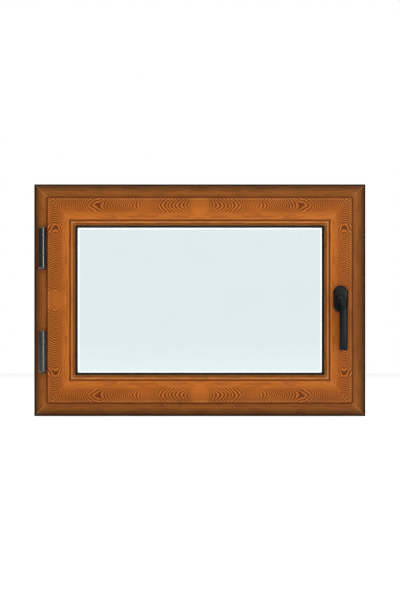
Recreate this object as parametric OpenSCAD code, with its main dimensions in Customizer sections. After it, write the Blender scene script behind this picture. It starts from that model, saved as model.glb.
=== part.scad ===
// Inward-opening, side-hung casement window. Aluminium profiles with a wood-effect coating
// are mitred into a fixed frame and a sash that laps over it. The sash holds a double-glazed
// unit, swings on two barrel hinges at the left, and is locked by a lever handle at the right
// that drives two cams through a pinion, a rack and a rod in the sash's own groove.
// +X is to the right as seen from the room, +Y points outdoors and +Z is up. The origin is
// the middle of the sill's underside.

/* [Window] */
// Overall width of the frame
frame_w = 800; // [600:1:1200]
// Overall height of the frame
frame_h = 560; // [460:1:1000]
// Depth of the frame from the room face to the outdoor face
frame_d = 45; // [42:0.5:60]
// Wall of the frame and sash profiles
wall = 1.8; // [1.4:0.1:2.2]

/* [Frame profile] */
// Width of the frame's tube, seen from the room with the sash off
frame_face = 37; // [34:0.5:46]
// Width of the part of the room face that curves back to the outer edge
curve_w = 16; // [12:0.5:18]
// How far the outer edge lies behind the flat of the room face
curve_drop = 5.5; // [3:0.5:7]
// How far the outdoor fin stands in past the tube
fin_w = 20; // [18:0.5:24]
// Thickness of the outdoor fin
fin_t = 2; // [1.6:0.1:3]
// Gap between the outdoor fin and the sash, which the rebate gasket fills
fin_gap = 5; // [4:0.1:6]

/* [Sash profile] */
// How far the sash laps over the frame's room face
overlap = 5.5; // [4:0.1:7]
// Gap between the frame's room face and the back of the sash's lap
lap_gap = 5; // [4.6:0.1:7]
// Thickness of the lap at its edge
lap_t = 4.5; // [3.5:0.1:6]
// Gap between the frame's inner wall and the sash's groove face
rebate_gap = 10.5; // [10:0.1:13]
// Width of the sash's tube
sash_tube = 39.5; // [38:0.5:50]
// How far the sash's outdoor glazing lip stands in past the tube
lip_w = 17; // [15:0.5:20]
// Thickness of the glazing lip
lip_t = 2; // [1.6:0.1:3]

/* [Hardware groove] */
// Width of the groove's mouth
groove_mouth = 12; // [11:0.1:13]
// Width of the groove behind its lips
groove_in = 16; // [15.6:0.1:18]
// Thickness of the groove's lips
groove_lip = 1.2; // [1:0.1:1.6]
// Depth of the groove behind its lips
groove_deep = 4.3; // [4:0.1:5]
// Distance from the sash's room face to the middle of the groove
groove_back = 20; // [19:0.5:24]

/* [Glazing] */
// Thickness of each pane
pane_t = 4; // [3:0.5:6]
// Thickness of the sealed unit
unit_t = 24; // [20:0.5:24]
// Gap between the sash's tube and the edge of the unit
unit_gap = 5; // [4:0.5:6]
// Width of the glazing bead
bead_w = 13.5; // [12:0.5:16]
// How much of the inner gasket shows past the bead
gasket_show = 4; // [3:0.1:5]
// How much of the spacer shows past the inner gasket
spacer_show = 3; // [2:0.1:4]
// Height of the spacer bar between the panes
spacer_h = 7; // [6:0.5:8]
// Thickness of the outer glazing gasket
gasket_out_t = 3.5; // [3:0.1:5]
// Thickness of the inner glazing gasket
gasket_in_t = 4; // [3:0.1:5]

/* [Hinges] */
// Length of a hinge, over its cap
hinge_len = 102.3; // [90:0.1:120]
// Distance from the frame's top or bottom edge to the near end of a hinge
hinge_edge = 104.3; // [100:0.1:130]
// Length of the top knuckle with its cap
knuckle_top = 27; // [24:0.5:32]
// Length of the bottom knuckle with its dome
knuckle_bottom = 34; // [30:0.5:38]
// Radius of the barrel
barrel_r = 10; // [8.5:0.1:11]
// Radial gap between the barrel and the edge of the sash's lap
barrel_gap = 0.55; // [0.5:0.05:2]
// Radius of the hinge pin
pin_r = 4; // [3.5:0.1:4.5]
// Wall of the plastic bush between the pin and the sash's knuckle
bush_t = 2; // [1.5:0.1:2.5]
// Thickness of the hinge leaves
leaf_t = 2.2; // [1.8:0.1:2.4]

/* [Handle] */
// Height of the handle's pivot above the middle of the window
handle_lift = 3; // [0:0.5:20]
// Length of the oval rosette
rosette_l = 65; // [58:0.5:80]
// Width of the oval rosette
rosette_w = 36; // [31:0.5:38]
// How far the rosette stands off the sash
rosette_h = 11; // [10:0.5:14]
// Radius of the handle's neck
neck_r = 10; // [9:0.1:10.5]
// Width of the lever
lever_w = 20.5; // [16:0.1:24]
// Reach of the lever below its pivot
lever_l = 123; // [100:1:150]
// Sideways crank of the lever towards the lock jamb
crank = 4.6; // [0:0.1:6]
// How far the lever stands off the sash
lever_out = 52; // [48:0.5:60]
// Side of the square spindle
spindle = 7; // [6:0.1:7]
// Spacing of the two handle screws
handle_pitch = 43; // [40:0.5:46]

/* [Lock] */
// Module of the pinion and rack
gear_m = 1; // [1:0.05:1.1]
// Teeth on the pinion
gear_n = 17; // [17:1:18]
// Distance from the frame's top or bottom edge to a locking cam
cam_edge = 150; // [140:1:170]
// Radius of a locking cam's stem
cam_r = 4.5; // [4:0.1:5]
// Distance from the frame's top or bottom edge to a wall fixing
anchor_edge = 70; // [64:1:80]
// Radius of the wall fixing holes
anchor_r = 4.25; // [3:0.05:5]

/* [Hidden] */

$fn = 64;
wood = [0.63, 0.37, 0.16];
frame_wood = [0.50, 0.29, 0.13];
black = [0.07, 0.07, 0.08];
handle_black = [0.15, 0.15, 0.16];
rubber = [0.05, 0.04, 0.04];
steel = [0.70, 0.71, 0.72];
alloy = [0.80, 0.81, 0.82];
plastic = [0.30, 0.30, 0.31];

clear = 0.3;      // between pieces that move past each other
fit = 0.05;       // radial play of a running fit
press = 0.02;     // radial play of a pressed or screwed fit
eps = 0.01;       // overlap that makes two shapes of one piece fuse

// Places along the profile: u is the distance in from the frame's outer edge
lap_u = frame_face - overlap;
fin_u = frame_face + fin_w;
groove_u = frame_face + rebate_gap;
bead_u = groove_u + sash_tube;
lip_u = bead_u + lip_w;
unit_u = bead_u + unit_gap;
bead_end = bead_u + bead_w;
gasket_end = bead_end + gasket_show;
spacer_end = gasket_end + spacer_show;
mitre_reach = spacer_end + 5;

// Places through the window's depth
frame_front = -frame_d / 2;
frame_back = frame_d / 2;
sash_front = frame_front - lap_gap - lap_t;
lap_back = sash_front + lap_t;
sash_back = frame_back - fin_t - fin_gap;
unit_back = sash_back - lip_t - gasket_out_t;
unit_front = unit_back - unit_t;
bead_back = unit_front - gasket_in_t;
groove_y = sash_front + groove_back;
curve_r = (curve_w * curve_w + curve_drop * curve_drop) / (2 * curve_drop);

// Hardware groove
lip_back = groove_u + groove_lip;
groove_floor = lip_back + groove_deep;
groove_wall = 1.6;
groove_end = groove_floor + groove_wall;

// Hinges
hinge_low = hinge_edge + hinge_len / 2;
hinge_high = frame_h - hinge_low;
barrel_front = 3;
barrel_y = sash_front - barrel_front;
barrel_u = lap_u - sqrt(pow(barrel_r + barrel_gap, 2) - pow(barrel_front, 2));
knuckle_gap = 0.8;
washer_t = 0.5;
cap_h = 3;
dome = 6;
arm_half = 7;
hinge_top = hinge_len / 2;
joint_top = hinge_top - knuckle_top;
joint_bottom = knuckle_bottom - hinge_top;
frame_leaf_front = frame_front - leaf_t;
sash_leaf_back = lap_back + leaf_t;
leaf_end = groove_y + groove_in / 2 + 1;
leaf_screw_r = 2;
top_screw = (hinge_top - cap_h + joint_top) / 2;
bottom_screw = (joint_bottom - hinge_top) / 2;
sash_screw = 30;
sash_leg = 2 * sash_screw + 18;

// Rod, rack and pinion
rod_t = 1.8;
rod_u = lip_back + clear;
rod_back = rod_u + rod_t;
pitch_r = gear_m * gear_n / 2;
pitch_u = rod_back + 1.3 * gear_m;
handle_u = pitch_u + pitch_r;
handle_z = frame_h / 2 + handle_lift;
backlash = 0.2;
rod_end = 25;
rod_travel = pitch_r * PI / 2;
tooth_pitch = PI * gear_m;
gear_face = 6;
hub_r = handle_u - groove_end - clear;
case_w = 26;
case_front = groove_back - gear_face / 2 - 5;
case_back = groove_back + gear_face / 2 + 5;
case_split = groove_back + gear_face / 2 + clear;
case_screw = 12.5;
cam_low = cam_edge;
cam_high = frame_h - cam_edge;
cam_out = 7.5;

// Wall fixings, drain slots and keepers of the frame
anchor_y = 4;
access_r = 8;
drain_l = 30;
drain_h = 5;
drain_z = 12;
drain_cap_lap = 3;
keeper_l = 60;
keeper_t = 1.5;
keeper_lip = 2.2;
keeper_screw_r = 2;
keeper_y0 = groove_y - cam_r - 3.5;
keeper_y1 = groove_y + cam_r + 3.5;

// Hook that holds the glazing bead, and the rim of the sash's lap
bead_hook = 3.2;
lap_lip = 2.5;

// Handle
base_h = 4;
cover_wall = 1.6;
rim = 4;
pivot_r = 8;
clip_recess = 1.9;
clip_z = 1.2;
clip_t = 0.9;
spindle_hole = 6.2;
spindle_out = 28;
handle_screw_r = 2.5;
handle_screw_hole = 2.7;
lever_head = 9;
grip_t = 11;

// Rack, from its lowest tooth to its highest
rack_first = -3;
rack_last = 6;
rack_down = -(rack_first - 0.5) * PI * gear_m;
rack_up = (rack_last + 1.5) * PI * gear_m;

// Shapes shared by several pieces ------------------------------------------------------

// A rectangle in the profile plane, between two places along u and two along the depth
module patch(u0, u1, y0, y1) {
  translate([u0, y0])
    square([u1 - u0, y1 - y0]);
}

// One mitred length of a profile drawn as [u, depth]; side is 0 sill, 1 hinge, 2 head, 3 lock
module run(side) {
  half_run = (side % 2 == 0 ? frame_w : frame_h) / 2;
  half_across = (side % 2 == 0 ? frame_h : frame_w) / 2;
  translate([0, 0, frame_h / 2])
    rotate([0, 90 * side, 0])
      translate([0, 0, -half_across])
        intersection() {
          rotate([0, -90, 0])
            linear_extrude(2 * half_run, center = true)
              children();
          rotate([90, 0, 0])
            linear_extrude(3 * frame_d, center = true)
              polygon([
                [-half_run, 0], [half_run, 0],
                [half_run - mitre_reach, mitre_reach], [mitre_reach - half_run, mitre_reach]
              ]);
        }
}

// Four mitred lengths that make a ring
module ring_of_runs() {
  for (side = [0:3])
    run(side)
      children();
}

// Places on the two jambs, where x is u on both
module on_hinge_jamb(z) {
  translate([-frame_w / 2, 0, z])
    children();
}

module on_lock_jamb(z) {
  translate([frame_w / 2, 0, z])
    mirror([1, 0, 0])
      children();
}

// The four corners, each seen as the lower left one
module at_corners() {
  for (right = [0, 1], top = [0, 1])
    mirror([right, 0, 0])
      translate([-frame_w / 2, 0, top * frame_h])
        mirror([0, 0, top])
          children();
}

// A slab from y0 to y1 of an outline drawn as [x, z]
module slab(y0, y1) {
  translate([0, y1, 0])
    rotate([90, 0, 0])
      linear_extrude(y1 - y0)
        children();
}

// A block between two places along each axis
module block(x, y, z) {
  translate([x[0], y[0], z[0]])
    cube([x[1] - x[0], y[1] - y[0], z[1] - z[0]]);
}

// A round bar along u
module bar_u(r, u0, u1) {
  translate([u0, 0, 0])
    rotate([0, 90, 0])
      cylinder(r = r, h = u1 - u0);
}

// A countersunk screw with its head flush at z = 0 and its shank going down
module screw(r, length) {
  head_h = 1.1 * r;
  difference() {
    union() {
      translate([0, 0, -head_h])
        cylinder(r1 = r, r2 = 2 * r, h = head_h);
      translate([0, 0, -length])
        cylinder(r = r, h = length);
    }
    translate([0, 0, -0.9 * r])
      cylinder(r = 0.8 * r, h = r, $fn = 6);
  }
}

// The hole that such a screw needs, deep enough to leave at both ends
module screw_hole(r, length) {
  head_h = 1.1 * r;
  play = 0.1;
  translate([0, 0, -head_h])
    cylinder(r1 = r + play, r2 = 2 * r + play, h = head_h + eps);
  translate([0, 0, -length])
    cylinder(r = r + play, h = length);
}

// An upright oval boss with a rounded rim, standing on z = 0
module oval_boss(w, l, h, rim) {
  r = w / 2;
  for (end = [-1, 1])
    translate([0, end * (l - w) / 2, 0])
      rotate_extrude()
        boss_half(r, h, rim);
  rotate([90, 0, 0])
    linear_extrude(l - w, center = true)
      union() {
        boss_half(r, h, rim);
        mirror([1, 0])
          boss_half(r, h, rim);
      }
}

// Half of the boss's section, from its middle line out to radius r
module boss_half(r, h, rim) {
  square([r, h - rim]);
  square([r - rim, h]);
  intersection() {
    translate([r - rim, h - rim])
      circle(rim);
    square([r, h]);
  }
}

// Frame ----------------------------------------------------------------------------------

// The frame tube's outline, or with an inset the chamber inside its wall
module frame_outline(inset) {
  fall = frame_front + curve_drop + 2;
  patch(inset, frame_face - inset, fall, frame_back - inset);
  patch(curve_w - eps, frame_face - inset, frame_front + inset, fall + eps);
  intersection() {
    translate([curve_w, frame_front + curve_r])
      circle(curve_r - inset);
    patch(inset, curve_w, frame_front, fall + eps);
  }
}

module frame_profile() {
  difference() {
    frame_outline(0);
    frame_outline(wall);
  }
  patch(frame_face - eps, fin_u, frame_back - fin_t, frame_back);
}

// The wall fixings and their access holes, on a jamb
module anchor_holes() {
  for (z = [anchor_edge, frame_h - anchor_edge])
    translate([0, anchor_y, z]) {
      bar_u(anchor_r, -1, wall + 1);
      bar_u(access_r, frame_face - wall - 1, frame_face + 1);
    }
}

module frame_head() {
  color(frame_wood)
    run(2)
      frame_profile();
}

// The sill drains through slots in its rebate and in its outdoor face
module frame_sill() {
  color(frame_wood)
    difference() {
      run(0)
        frame_profile();
      for (side = [-1, 1])
        translate([side * frame_w / 4, 0, 0]) {
          block([-drain_l / 2, drain_l / 2], [frame_back - wall - 1, frame_back + 1],
                [drain_z - drain_h / 2, drain_z + drain_h / 2]);
          translate([drain_l, 0, 0])
            block([-drain_l / 2, drain_l / 2], [drain_h, 2 * drain_h],
                  [frame_face - wall - 1, frame_face + 1]);
        }
    }
}

module frame_jamb_hinge() {
  color(frame_wood)
    difference() {
      run(1)
        frame_profile();
      on_hinge_jamb(0)
        anchor_holes();
      for (z = [hinge_low, hinge_high])
        on_hinge_jamb(z)
          frame_leaf_screws()
            screw_hole(leaf_screw_r, 9);
    }
}

module frame_jamb_lock() {
  color(frame_wood)
    difference() {
      run(3)
        frame_profile();
      on_lock_jamb(0)
        anchor_holes();
      for (z = [cam_low, cam_high])
        on_lock_jamb(z)
          keeper_screw_places()
            screw_hole(keeper_screw_r, 8);
    }
}

// An L-shaped corner cleat with a pocket in each arm
module cleat(u0, u1, y0, y1, arm) {
  pocket = 4;
  slab(y0, y1)
    difference() {
      polygon([[u0, u0], [arm, u0], [arm, u1], [u1, u1], [u1, arm], [u0, arm]]);
      translate([u1 + pocket, u0 + pocket])
        square([arm - u1 - 2 * pocket, u1 - u0 - 2 * pocket]);
      translate([u0 + pocket, u1 + pocket])
        square([u1 - u0 - 2 * pocket, arm - u1 - 2 * pocket]);
    }
}

module frame_corner_cleats() {
  color(alloy)
    at_corners()
      cleat(wall + clear, frame_face - wall - clear, frame_front + curve_drop + wall + 2,
            frame_back - wall - clear, frame_face + 20);
}

module frame_rebate_gasket() {
  seat = frame_back - fin_t;
  bulb = (fin_gap - 1.6) / 2;
  color(rubber)
    ring_of_runs()
      union() {
        patch(fin_u - 5.5, fin_u - 0.5, seat - 1.8, seat);
        translate([fin_u - 3, sash_back + bulb + 0.15])
          circle(bulb);
      }
}

module frame_anchor_caps() {
  color(frame_wood)
    for (z = [anchor_edge, frame_h - anchor_edge]) {
      on_hinge_jamb(z)
        anchor_cap();
      on_lock_jamb(z)
        anchor_cap();
    }
}

module anchor_cap() {
  translate([0, anchor_y, 0]) {
    bar_u(access_r - press, frame_face - wall - 1, frame_face + eps);
    bar_u(access_r + 1, frame_face, frame_face + 1.4);
  }
}

module frame_drain_caps() {
  color(frame_wood)
    for (side = [-1, 1])
      translate([side * frame_w / 4, 0, 0])
        difference() {
          block([-drain_l / 2 - drain_cap_lap, drain_l / 2 + drain_cap_lap], [frame_back, frame_back + 2.5],
                [drain_z - drain_h / 2 - drain_cap_lap, drain_z + drain_h / 2 + drain_cap_lap]);
          block([-drain_l / 2, drain_l / 2], [frame_back - 1, frame_back + 1.5],
                [drain_z - drain_h, drain_z + drain_h / 2]);
        }
}

// Keepers on the lock jamb ---------------------------------------------------------------

// The two screws of a keeper, from the keeper's face into the jamb
module keeper_screw_places() {
  for (end = [-1, 1])
    translate([frame_face + keeper_t, groove_y, end * (keeper_l / 2 - 7)])
      rotate([0, 90, 0])
        children();
}

// A plate with a low lip on the room side of the cam's path
module keeper(z) {
  color(steel)
    on_lock_jamb(z)
      difference() {
        union() {
          block([frame_face, frame_face + keeper_t], [keeper_y0, keeper_y1],
                [-keeper_l / 2, keeper_l / 2]);
          block([frame_face, frame_face + keeper_lip], [keeper_y0, keeper_y0 + 2],
                [-keeper_l / 2, keeper_l / 2]);
        }
        keeper_screw_places()
          screw_hole(keeper_screw_r, keeper_t + 1);
      }
}

module keeper_upper() {
  keeper(cam_high);
}

module keeper_lower() {
  keeper(cam_low);
}

module keeper_screws() {
  color(steel)
    for (z = [cam_low, cam_high])
      on_lock_jamb(z)
        keeper_screw_places()
          screw(keeper_screw_r, 7.5);
}

// Hinges ---------------------------------------------------------------------------------

// The two screws of a frame leaf, one behind each of its arms
module frame_leaf_screws() {
  for (z = [top_screw, bottom_screw])
    translate([frame_face + leaf_t, groove_y, z])
      rotate([0, 90, 0])
        children();
}

// The two screws of a sash leaf, into the clamps in the sash's groove
module sash_leaf_screws() {
  middle = (joint_top + joint_bottom) / 2;
  for (z = [middle - sash_screw, middle + sash_screw])
    translate([groove_u - leaf_t, groove_y, z])
      rotate([0, -90, 0])
        children();
}

// Two knuckles whose arms lie on the frame's room face and bend onto its inner wall
module frame_leaf(z) {
  spans = [
    [joint_top + knuckle_gap / 2, hinge_top - cap_h],
    [-hinge_top, joint_bottom - knuckle_gap / 2]
  ];
  color(black)
    on_hinge_jamb(z)
      difference() {
        union() {
          for (s = spans) {
            base = s[0] + (s[0] == -hinge_top ? dome : 0);
            translate([barrel_u, barrel_y, base])
              cylinder(r = barrel_r, h = s[1] - base);
            block([barrel_u - arm_half, barrel_u + arm_half], [barrel_y + barrel_r / 2, frame_front],
                  [base, s[1]]);
            block([barrel_u - arm_half, frame_face + leaf_t], [frame_leaf_front, frame_front],
                  [base, s[1]]);
          }
          block([frame_face, frame_face + leaf_t], [frame_leaf_front, leaf_end],
                [dome - hinge_top, hinge_top - cap_h]);
          translate([barrel_u, barrel_y, dome - hinge_top])
            rotate_extrude()
              intersection() {
                union() {
                  translate([barrel_r - dome, 0])
                    circle(dome);
                  translate([0, -dome])
                    square([barrel_r - dome, 2 * dome]);
                }
                translate([0, -dome])
                  square([barrel_r, dome + eps]);
              }
        }
        translate([barrel_u, barrel_y, dome - hinge_top])
          cylinder(r = pin_r + press, h = hinge_len);
        frame_leaf_screws()
          screw_hole(leaf_screw_r, leaf_t + 1);
      }
}

module upper_hinge_frame_leaf() {
  frame_leaf(hinge_high);
}

module lower_hinge_frame_leaf() {
  frame_leaf(hinge_low);
}

// The middle knuckle, with an arm in the gap behind the lap and a leg on the groove face
module sash_leaf(z) {
  top = joint_top - knuckle_gap / 2;
  bottom = joint_bottom + knuckle_gap / 2;
  middle = (top + bottom) / 2;
  color(black)
    on_hinge_jamb(z)
      difference() {
        union() {
          translate([barrel_u, barrel_y, bottom])
            cylinder(r = barrel_r, h = top - bottom);
          block([barrel_u, groove_u], [lap_back, sash_leaf_back], [bottom, top]);
          block([groove_u - leaf_t, groove_u], [lap_back, leaf_end],
                [middle - sash_leg / 2, middle + sash_leg / 2]);
        }
        translate([barrel_u, barrel_y, bottom - 1])
          cylinder(r = pin_r + bush_t + press, h = top - bottom + 2);
        sash_leaf_screws()
          screw_hole(leaf_screw_r, leaf_t + 1);
      }
}

module upper_hinge_sash_leaf() {
  sash_leaf(hinge_high);
}

module lower_hinge_sash_leaf() {
  sash_leaf(hinge_low);
}

module hinge_pin(z) {
  color(steel)
    on_hinge_jamb(z)
      translate([barrel_u, barrel_y, dome - hinge_top])
        cylinder(r = pin_r, h = hinge_len - dome - cap_h);
}

module upper_hinge_pin() {
  hinge_pin(hinge_high);
}

module lower_hinge_pin() {
  hinge_pin(hinge_low);
}

// A plastic cap with a bevelled rim closes the top knuckle
module hinge_top_caps() {
  bevel = 1.2;
  color(black)
    for (z = [hinge_low, hinge_high])
      on_hinge_jamb(z)
        translate([barrel_u, barrel_y, hinge_top - cap_h]) {
          cylinder(r = barrel_r, h = cap_h - bevel);
          translate([0, 0, cap_h - bevel])
            cylinder(r1 = barrel_r, r2 = barrel_r - bevel, h = bevel);
        }
}

// Flanged bushes at both ends of the sash's knuckle; each flange is the thrust washer
module hinge_bushes() {
  bush_l = 15;
  color(plastic)
    for (z = [hinge_low, hinge_high])
      on_hinge_jamb(z)
        translate([barrel_u, barrel_y, 0]) {
          translate([0, 0, joint_top - knuckle_gap / 2])
            bush(bush_l);
          translate([0, 0, joint_bottom + knuckle_gap / 2])
            mirror([0, 0, 1])
              bush(bush_l);
        }
}

module bush(length) {
  difference() {
    union() {
      translate([0, 0, -length])
        cylinder(r = pin_r + bush_t, h = length + eps);
      cylinder(r = barrel_r - 0.4, h = washer_t);
    }
    translate([0, 0, -length - 1])
      cylinder(r = pin_r + fit, h = length + 3);
  }
}

module hinge_frame_screws() {
  color(steel)
    for (z = [hinge_low, hinge_high])
      on_hinge_jamb(z)
        frame_leaf_screws()
          screw(leaf_screw_r, 8);
}

// Tapped plates behind the frame's inner wall
module hinge_frame_clamps() {
  clamp_t = 4;
  color(alloy)
    for (z = [hinge_low, hinge_high])
      on_hinge_jamb(z)
        difference() {
          for (place = [top_screw, bottom_screw])
            translate([frame_face - wall - clamp_t, groove_y - 7, place - 9])
              cube([clamp_t, 14, 18]);
          frame_leaf_screws()
            translate([0, 0, -20])
              cylinder(r = leaf_screw_r + press, h = 20);
        }
}

module hinge_sash_screws() {
  color(steel)
    for (z = [hinge_low, hinge_high])
      on_hinge_jamb(z)
        sash_leaf_screws()
          screw(leaf_screw_r, 7);
}

// Tapped plates that pull up against the groove's lips
module hinge_sash_clamps() {
  clamp_t = groove_deep - 1;
  middle = (joint_top + joint_bottom) / 2;
  color(alloy)
    for (z = [hinge_low, hinge_high])
      on_hinge_jamb(z)
        difference() {
          for (place = [middle - sash_screw, middle + sash_screw])
            translate([lip_back, groove_y - groove_in / 2 + fit, place - 9])
              cube([clamp_t, groove_in - 2 * fit, 18]);
          sash_leaf_screws()
            translate([0, 0, -20])
              cylinder(r = leaf_screw_r + press, h = 20);
        }
}

// Sash -----------------------------------------------------------------------------------

module sash_profile() {
  housing = groove_in / 2 + groove_wall;
  difference() {
    union() {
      difference() {
        patch(groove_u, bead_u, sash_front, sash_back);
        patch(groove_u + wall, bead_u - wall, sash_front + wall, sash_back - wall);
      }
      patch(groove_u, groove_end, groove_y - housing, groove_y + housing);
      patch(lap_u, groove_u + eps, sash_front, sash_front + 2);
      patch(lap_u, lap_u + lap_lip, sash_front, lap_back);
      patch(bead_u - eps, lip_u, sash_back - lip_t, sash_back);
      patch(bead_u - eps, bead_u + bead_hook, bead_back + 0.6, bead_back + 2);
      patch(bead_u + bead_hook - 1.2, bead_u + bead_hook, bead_back - 1.4, bead_back + 1);
    }
    patch(groove_u - 1, lip_back + eps, groove_y - groove_mouth / 2, groove_y + groove_mouth / 2);
    patch(lip_back, groove_floor, groove_y - groove_in / 2, groove_y + groove_in / 2);
  }
}

module sash_top_rail() {
  color(wood)
    run(2)
      sash_profile();
}

module sash_bottom_rail() {
  color(wood)
    run(0)
      sash_profile();
}

module sash_hinge_stile() {
  color(wood)
    run(1)
      sash_profile();
}

// The lock stile has holes for the spindle and screws, and a slot that lets the pinion
// reach the rack through the groove's floor
module sash_lock_stile() {
  slot = gear_face / 2 + 1;
  color(wood)
    difference() {
      run(3)
        sash_profile();
      on_sash_face()
        translate([0, 0, -wall - 1]) {
          cylinder(r = spindle_hole, h = wall + 2);
          for (end = [-1, 1])
            translate([0, end * handle_pitch / 2, 0])
              cylinder(r = handle_screw_hole, h = wall + 2);
        }
      on_lock_jamb(handle_z)
        block([groove_floor - 1, groove_end + 1], [groove_y - slot, groove_y + slot],
              [-rack_down - rod_travel - 2, rack_up + 3]);
    }
}

module sash_corner_cleats() {
  color(alloy)
    at_corners()
      cleat(groove_end + clear, bead_u - wall - clear, sash_front + wall + clear,
            sash_back - wall - clear, bead_u + 38);
}

module bead_profile() {
  leg = 1.5;
  u0 = bead_u + 0.2;
  flat = u0 + 5;
  face = sash_front + 1;
  edge = face + 3;
  polygon([
    [u0, bead_back - 0.2], [u0, face], [flat, face], [bead_end, edge],
    [bead_end, bead_back], [bead_end - leg, bead_back], [bead_end - leg, edge + leg],
    [flat, face + leg], [u0 + leg, face + leg], [u0 + leg, bead_back - 0.2]
  ]);
}

module bead_top() {
  color(wood)
    run(2)
      bead_profile();
}

module bead_bottom() {
  color(wood)
    run(0)
      bead_profile();
}

module bead_hinge_side() {
  color(wood)
    run(1)
      bead_profile();
}

module bead_lock_side() {
  color(wood)
    run(3)
      bead_profile();
}

// Glazing --------------------------------------------------------------------------------

module glazing_gasket_inner() {
  color(rubber)
    ring_of_runs()
      polygon([
        [bead_end - 1.8, bead_back], [bead_end, bead_back], [bead_end, bead_back - 0.6],
        [gasket_end, unit_front - 1.2], [gasket_end, unit_front], [bead_end - 1.8, unit_front]
      ]);
}

module glazing_gasket_outer() {
  color(rubber)
    ring_of_runs()
      polygon([
        [lip_u - 6, unit_back], [lip_u + 0.5, unit_back], [lip_u + 0.5, unit_back + 1],
        [lip_u, unit_back + gasket_out_t], [lip_u - 6, unit_back + gasket_out_t]
      ]);
}

// One pane, with its indoor face at depth y
module pane(y) {
  translate([unit_u - frame_w / 2, y, unit_u])
    cube([frame_w - 2 * unit_u, pane_t, frame_h - 2 * unit_u]);
}

module glass_inner_pane() {
  color([0.82, 0.90, 0.90, 0.4])
    pane(unit_front);
}

module glass_outer_pane() {
  color([0.82, 0.90, 0.90, 0.4])
    pane(unit_back - pane_t);
}

// A hollow bar filled with drying beads runs round the cavity
module glass_spacer() {
  skin = 0.8;
  u0 = spacer_end - spacer_h;
  y0 = unit_front + pane_t;
  y1 = unit_back - pane_t;
  color(alloy)
    ring_of_runs()
      difference() {
        patch(u0, spacer_end, y0, y1);
        patch(u0 + skin, spacer_end - skin, y0 + skin, y1 - skin);
      }
}

module glass_edge_sealant() {
  color(rubber)
    ring_of_runs()
      patch(unit_u, spacer_end - spacer_h, unit_front + pane_t, unit_back - pane_t);
}

// Blocks carry the unit in the sash: two below, two above and one at each side
module setting_blocks() {
  block_l = 80;
  from_corner = 60;
  u = [bead_u + fit, unit_u - fit];
  y = [unit_front + 1, unit_back - 1];
  across = frame_w / 2 - unit_u - from_corner;
  color(plastic) {
    for (side = [-1, 1], top = [0, 1])
      translate([side * (across - block_l / 2), 0, top * frame_h])
        mirror([0, 0, top])
          block([-block_l / 2, block_l / 2], y, u);
    on_hinge_jamb(unit_u + from_corner)
      block(u, y, [0, block_l]);
    on_lock_jamb(frame_h - unit_u - from_corner - block_l)
      block(u, y, [0, block_l]);
  }
}

// A bulb under the edge of the lap, cut away where the hinge leaves pass
module sash_overlap_gasket() {
  bulb = (lap_gap - 1.2) / 2;
  color(rubber)
    difference() {
      ring_of_runs()
        union() {
          patch(lap_u + 0.2, lap_u + lap_lip, lap_back, lap_back + 2);
          translate([lap_u + lap_lip / 2 + 0.3, frame_front - bulb - 0.2])
            circle(bulb);
        }
      for (z = [hinge_low, hinge_high])
        on_hinge_jamb(z)
          block([lap_u - 5, lap_u + 8], [lap_back - 1, frame_front + 1],
                [-hinge_top - 1, hinge_top + 1]);
    }
}

// Handle and lock ------------------------------------------------------------------------

// The handle's own frame: x is u, y is up, z stands off the sash's room face, with the
// pivot at the origin. Places inside the sash have a negative z.
module on_sash_face() {
  on_lock_jamb(handle_z)
    translate([handle_u, sash_front, 0])
      rotate([90, 0, 0])
        children();
}

module handle_base() {
  margin = cover_wall + 0.4;
  color(plastic)
    on_sash_face()
      difference() {
        oval_boss(rosette_w - 2 * margin, rosette_l - 2 * margin, base_h, 0.8);
        translate([0, 0, -1])
          cylinder(r = pivot_r + fit, h = base_h + 2);
        translate([0, 0, -1])
          cylinder(r = pivot_r + 3, h = clip_recess + 1);
        for (end = [-1, 1])
          translate([0, end * handle_pitch / 2, base_h])
            screw_hole(handle_screw_r, base_h + 1);
      }
}

module handle_cover() {
  color(handle_black)
    on_sash_face()
      difference() {
        oval_boss(rosette_w, rosette_l, rosette_h, rim);
        translate([0, 0, -eps])
          oval_boss(rosette_w - 2 * cover_wall, rosette_l - 2 * cover_wall,
                    rosette_h - cover_wall, rim - cover_wall);
        cylinder(r = neck_r + clear, h = rosette_h + 1);
      }
}

module handle_screws() {
  color(steel)
    on_sash_face()
      for (end = [-1, 1])
        translate([0, end * handle_pitch / 2, base_h])
          screw(handle_screw_r, base_h + case_front + 6);
}

// A sprung ring with notches a quarter turn apart
module handle_detent_ring() {
  color(plastic)
    on_sash_face()
      translate([0, 0, base_h])
        difference() {
          cylinder(r = neck_r + 3.5, h = 4);
          translate([0, 0, -1])
            cylinder(r = neck_r + clear, h = 6);
          for (turn = [0:90:270])
            rotate([0, 0, turn])
              translate([neck_r + clear, 0, -1])
                cylinder(r = 0.9, h = 6);
        }
}

// The outline of the gear case, a tall plate with lugs for the handle screws
module case_outline() {
  side = handle_u - groove_end;
  translate([-side, -case_w / 2 - 3])
    square([side + 13, case_w + 6]);
  translate([-side, -handle_pitch / 2 - 5])
    square([side + 5, handle_pitch + 10]);
}

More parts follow.
